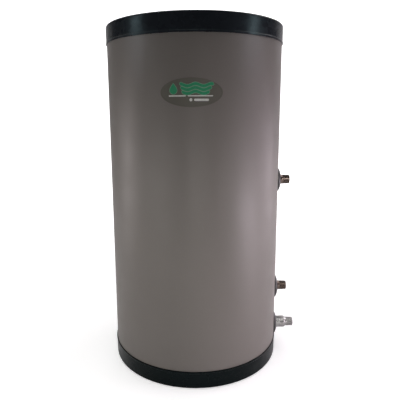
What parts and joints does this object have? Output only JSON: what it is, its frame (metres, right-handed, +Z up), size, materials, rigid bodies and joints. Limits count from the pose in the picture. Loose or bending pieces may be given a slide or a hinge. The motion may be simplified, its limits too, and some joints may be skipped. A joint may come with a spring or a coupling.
{
  "type": "tank water heater",
  "caption": "Free-standing insulated storage water heater in a painted jacket between black caps, with side ports, top outlet and a relief valve with a test lever.",
  "frame": {"origin": "on the tank's axis, at the floor under the base cap", "axes": "+Z up, badge on -Y, side ports along +X"},
  "size_m": [0.6682, 0.6012, 1.2335],
  "materials": {
    "jacket_paint": "satin taupe-grey powder coat",
    "moulded_plastic": "black, semi-gloss moulding",
    "zinc_steel": "plain blind rivets",
    "badge_print": "printed oval label",
    "plate_aluminium": "blank plate, satin",
    "foam": "closed-cell insulation foam",
    "black_steel": "black primer",
    "stainless": "stainless sheet",
    "cupronickel": "copper-nickel tube",
    "brown_steel": "brown-grey pipe steel",
    "black_rubber": "black, semi-gloss",
    "bright_steel": "bright machined steel",
    "valve_brass": "cast brass",
    "turned_brass": "turned brass",
    "spring_steel": "bright wire",
    "lever_paint": "red dipped steel",
    "probe_plastic": "coated thermostat rod"
  },
  "bodies": {
    "heater": {"base_cap": "moulded_plastic", "top_cap": "moulded_plastic", "jacket": "jacket_paint", "jacket_rivets": "zinc_steel", "badge": "badge_print", "rating_plate": "plate_aluminium", "foam_insulation": "foam", "base_insulation": "foam", "support_ring": "black_steel", "tank_shell": "stainless", "tank_upper_head": "stainless", "tank_lower_head": "stainless", "heat_exchanger_coil": "cupronickel", "coil_supports": "stainless", "boiler_inlet_boss": "stainless", "boiler_return_boss": "stainless", "boiler_inlet_nipple": "brown_steel", "boiler_return_nipple": "brown_steel", "boiler_inlet_grommet": "black_rubber", "boiler_return_grommet": "black_rubber", "cold_inlet_grommet": "black_rubber", "cold_inlet_pipe": "bright_steel", "cold_inlet_coupling": "bright_steel", "cold_inlet_nipple": "bright_steel", "inlet_diffuser": "stainless", "hot_outlet_boss": "stainless", "hot_outlet_nipple": "bright_steel", "hot_outlet_grommet": "black_rubber", "relief_valve_boss": "stainless", "relief_valve_grommet": "black_rubber", "sensor_well": "bright_steel", "sensor_well_grommet": "black_rubber", "relief_valve_body": "valve_brass", "relief_valve_bonnet": "valve_brass", "relief_valve_probe": "probe_plastic"},
    "relief_stem": {"relief_valve_stem": "turned_brass", "relief_valve_disc": "black_rubber", "relief_lever_pin": "spring_steel", "relief_valve_spring": "spring_steel"},
    "relief_lever": {"relief_valve_lever": "lever_paint"}
  },
  "joints": [
    {"name": "relief_lift", "type": "slide", "parent": "heater", "child": "relief_stem", "axis": [0, 0, 1], "range_m": [0, 0.0045], "stiffness_N_per_m": 2000, "springref_m": -0.004, "deforming": ["relief_valve_spring"]},
    {"name": "relief_lever_tilt", "type": "hinge", "parent": "relief_stem", "child": "relief_lever", "pos_m": [0, 0.17, 1.229], "axis": [1, 0, 0], "range_deg": [0, 80]}
  ],
  "couplings": [
    {"joint": "relief_lever_tilt", "follows": "relief_lift", "rad_per_m": 310}
  ]
}
